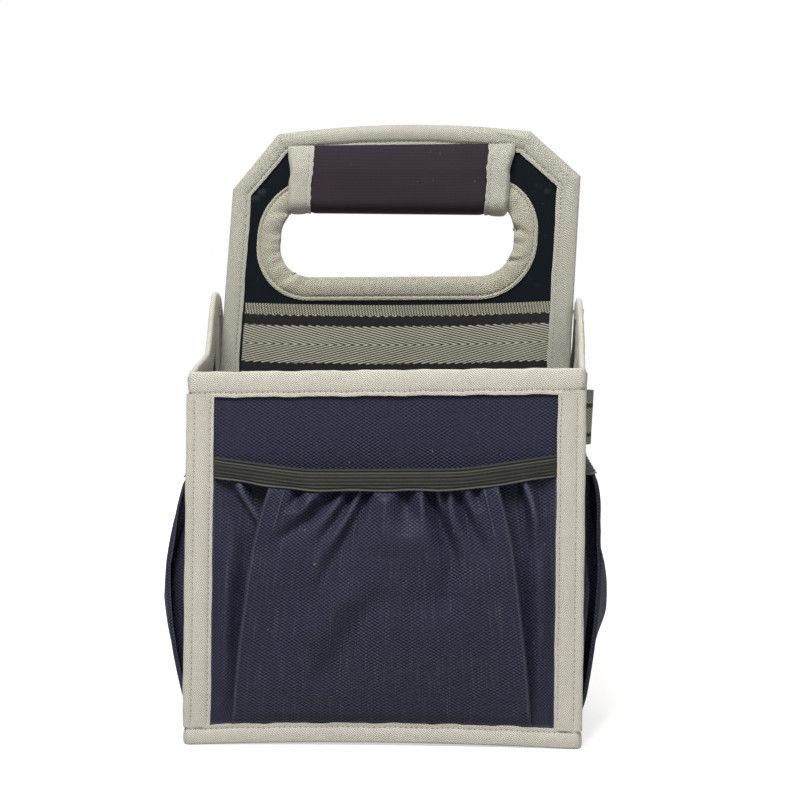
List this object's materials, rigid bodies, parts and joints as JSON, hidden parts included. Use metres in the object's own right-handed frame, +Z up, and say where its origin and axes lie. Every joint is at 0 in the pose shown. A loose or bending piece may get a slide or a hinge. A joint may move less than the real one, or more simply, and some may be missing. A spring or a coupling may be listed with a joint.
{
  "type": "garden tool bag",
  "caption": "Open-topped rectangular fabric tote with a stiff centre divider rising into a padded hand grip, gathered elastic-topped pockets outside and a webbing tool loop.",
  "frame": {"origin": "middle of the base, on the ground", "axes": "+Z up, front pocket towards -Y, tool loop on the +X side, divider in the plane Y = 0"},
  "size_m": [0.2594, 0.2004, 0.356],
  "materials": {
    "coated_cloth": "PVC-coated woven polyester, navy, fine staggered open weave, slight sheen",
    "binding_tape": "herringbone twill polyester binding tape, light warm grey, matt",
    "divider_plastic": "smooth coated board, near-black navy, satin",
    "base_plastic": "polypropylene stiffener sheet, dark grey",
    "grip_foam": "closed-cell foam, dark grey",
    "grip_knit": "fine knitted fabric, dark plum-black, matt",
    "striped_webbing": "heavy herringbone webbing, sand grey with two black stripes",
    "elastic_band": "ribbed folded elastic, olive-black, matt",
    "thread": "polyester sewing thread, light grey"
  },
  "bodies": {
    "bag": {"base_panel": "coated_cloth", "base_board": "base_plastic", "base_lining": "coated_cloth", "front_panel": "coated_cloth", "back_panel": "coated_cloth", "left_panel": "coated_cloth", "right_panel": "coated_cloth", "base_binding": "binding_tape", "rim_binding_front": "binding_tape", "rim_binding_back": "binding_tape", "corner_binding_front_left": "binding_tape", "corner_binding_front_right": "binding_tape", "corner_binding_back_left": "binding_tape", "corner_binding_back_right": "binding_tape", "divider_board": "divider_plastic", "divider_edge_binding": "binding_tape", "hand_hole_binding": "binding_tape", "divider_webbing_front": "striped_webbing", "divider_webbing_back": "striped_webbing", "divider_wall_tape_left": "binding_tape", "divider_wall_tape_right": "binding_tape", "grip_pad": "grip_foam", "grip_cover": "grip_knit", "grip_end_tape_left": "binding_tape", "grip_end_tape_right": "binding_tape", "tool_loop": "striped_webbing", "tool_loop_bar_tacks": "thread", "front_pocket_bellows": "coated_cloth", "back_pocket_bellows": "coated_cloth", "left_pocket_bellows": "coated_cloth", "right_pocket_bellows": "coated_cloth"},
    "front_pocket": {"front_pocket_face": "coated_cloth", "front_pocket_elastic": "elastic_band"},
    "back_pocket": {"back_pocket_face": "coated_cloth", "back_pocket_elastic": "elastic_band"},
    "left_pocket": {"left_pocket_face": "coated_cloth", "left_pocket_elastic": "elastic_band"},
    "right_pocket": {"right_pocket_face": "coated_cloth", "right_pocket_elastic": "elastic_band"}
  },
  "joints": [
    {"name": "front_pocket_opening", "type": "hinge", "parent": "bag", "child": "front_pocket", "pos_m": [0, -0.0851, 0.0123], "axis": [1, 0, 0], "range_deg": [0, 8], "stiffness_Nm_per_rad": 1.5, "deforming": ["front_pocket_bellows", "front_pocket_elastic"]},
    {"name": "back_pocket_opening", "type": "hinge", "parent": "bag", "child": "back_pocket", "pos_m": [0, 0.0851, 0.0123], "axis": [-1, 0, 0], "range_deg": [0, 8], "stiffness_Nm_per_rad": 1.5, "deforming": ["back_pocket_bellows", "back_pocket_elastic"]},
    {"name": "left_pocket_opening", "type": "hinge", "parent": "bag", "child": "left_pocket", "pos_m": [-0.1091, 0, 0.0123], "axis": [0, -1, 0], "range_deg": [0, 8], "stiffness_Nm_per_rad": 1.5, "deforming": ["left_pocket_bellows", "left_pocket_elastic"]},
    {"name": "right_pocket_opening", "type": "hinge", "parent": "bag", "child": "right_pocket", "pos_m": [0.1091, 0, 0.0123], "axis": [0, 1, 0], "range_deg": [0, 8], "stiffness_Nm_per_rad": 1.5, "deforming": ["right_pocket_bellows", "right_pocket_elastic"]}
  ]
}
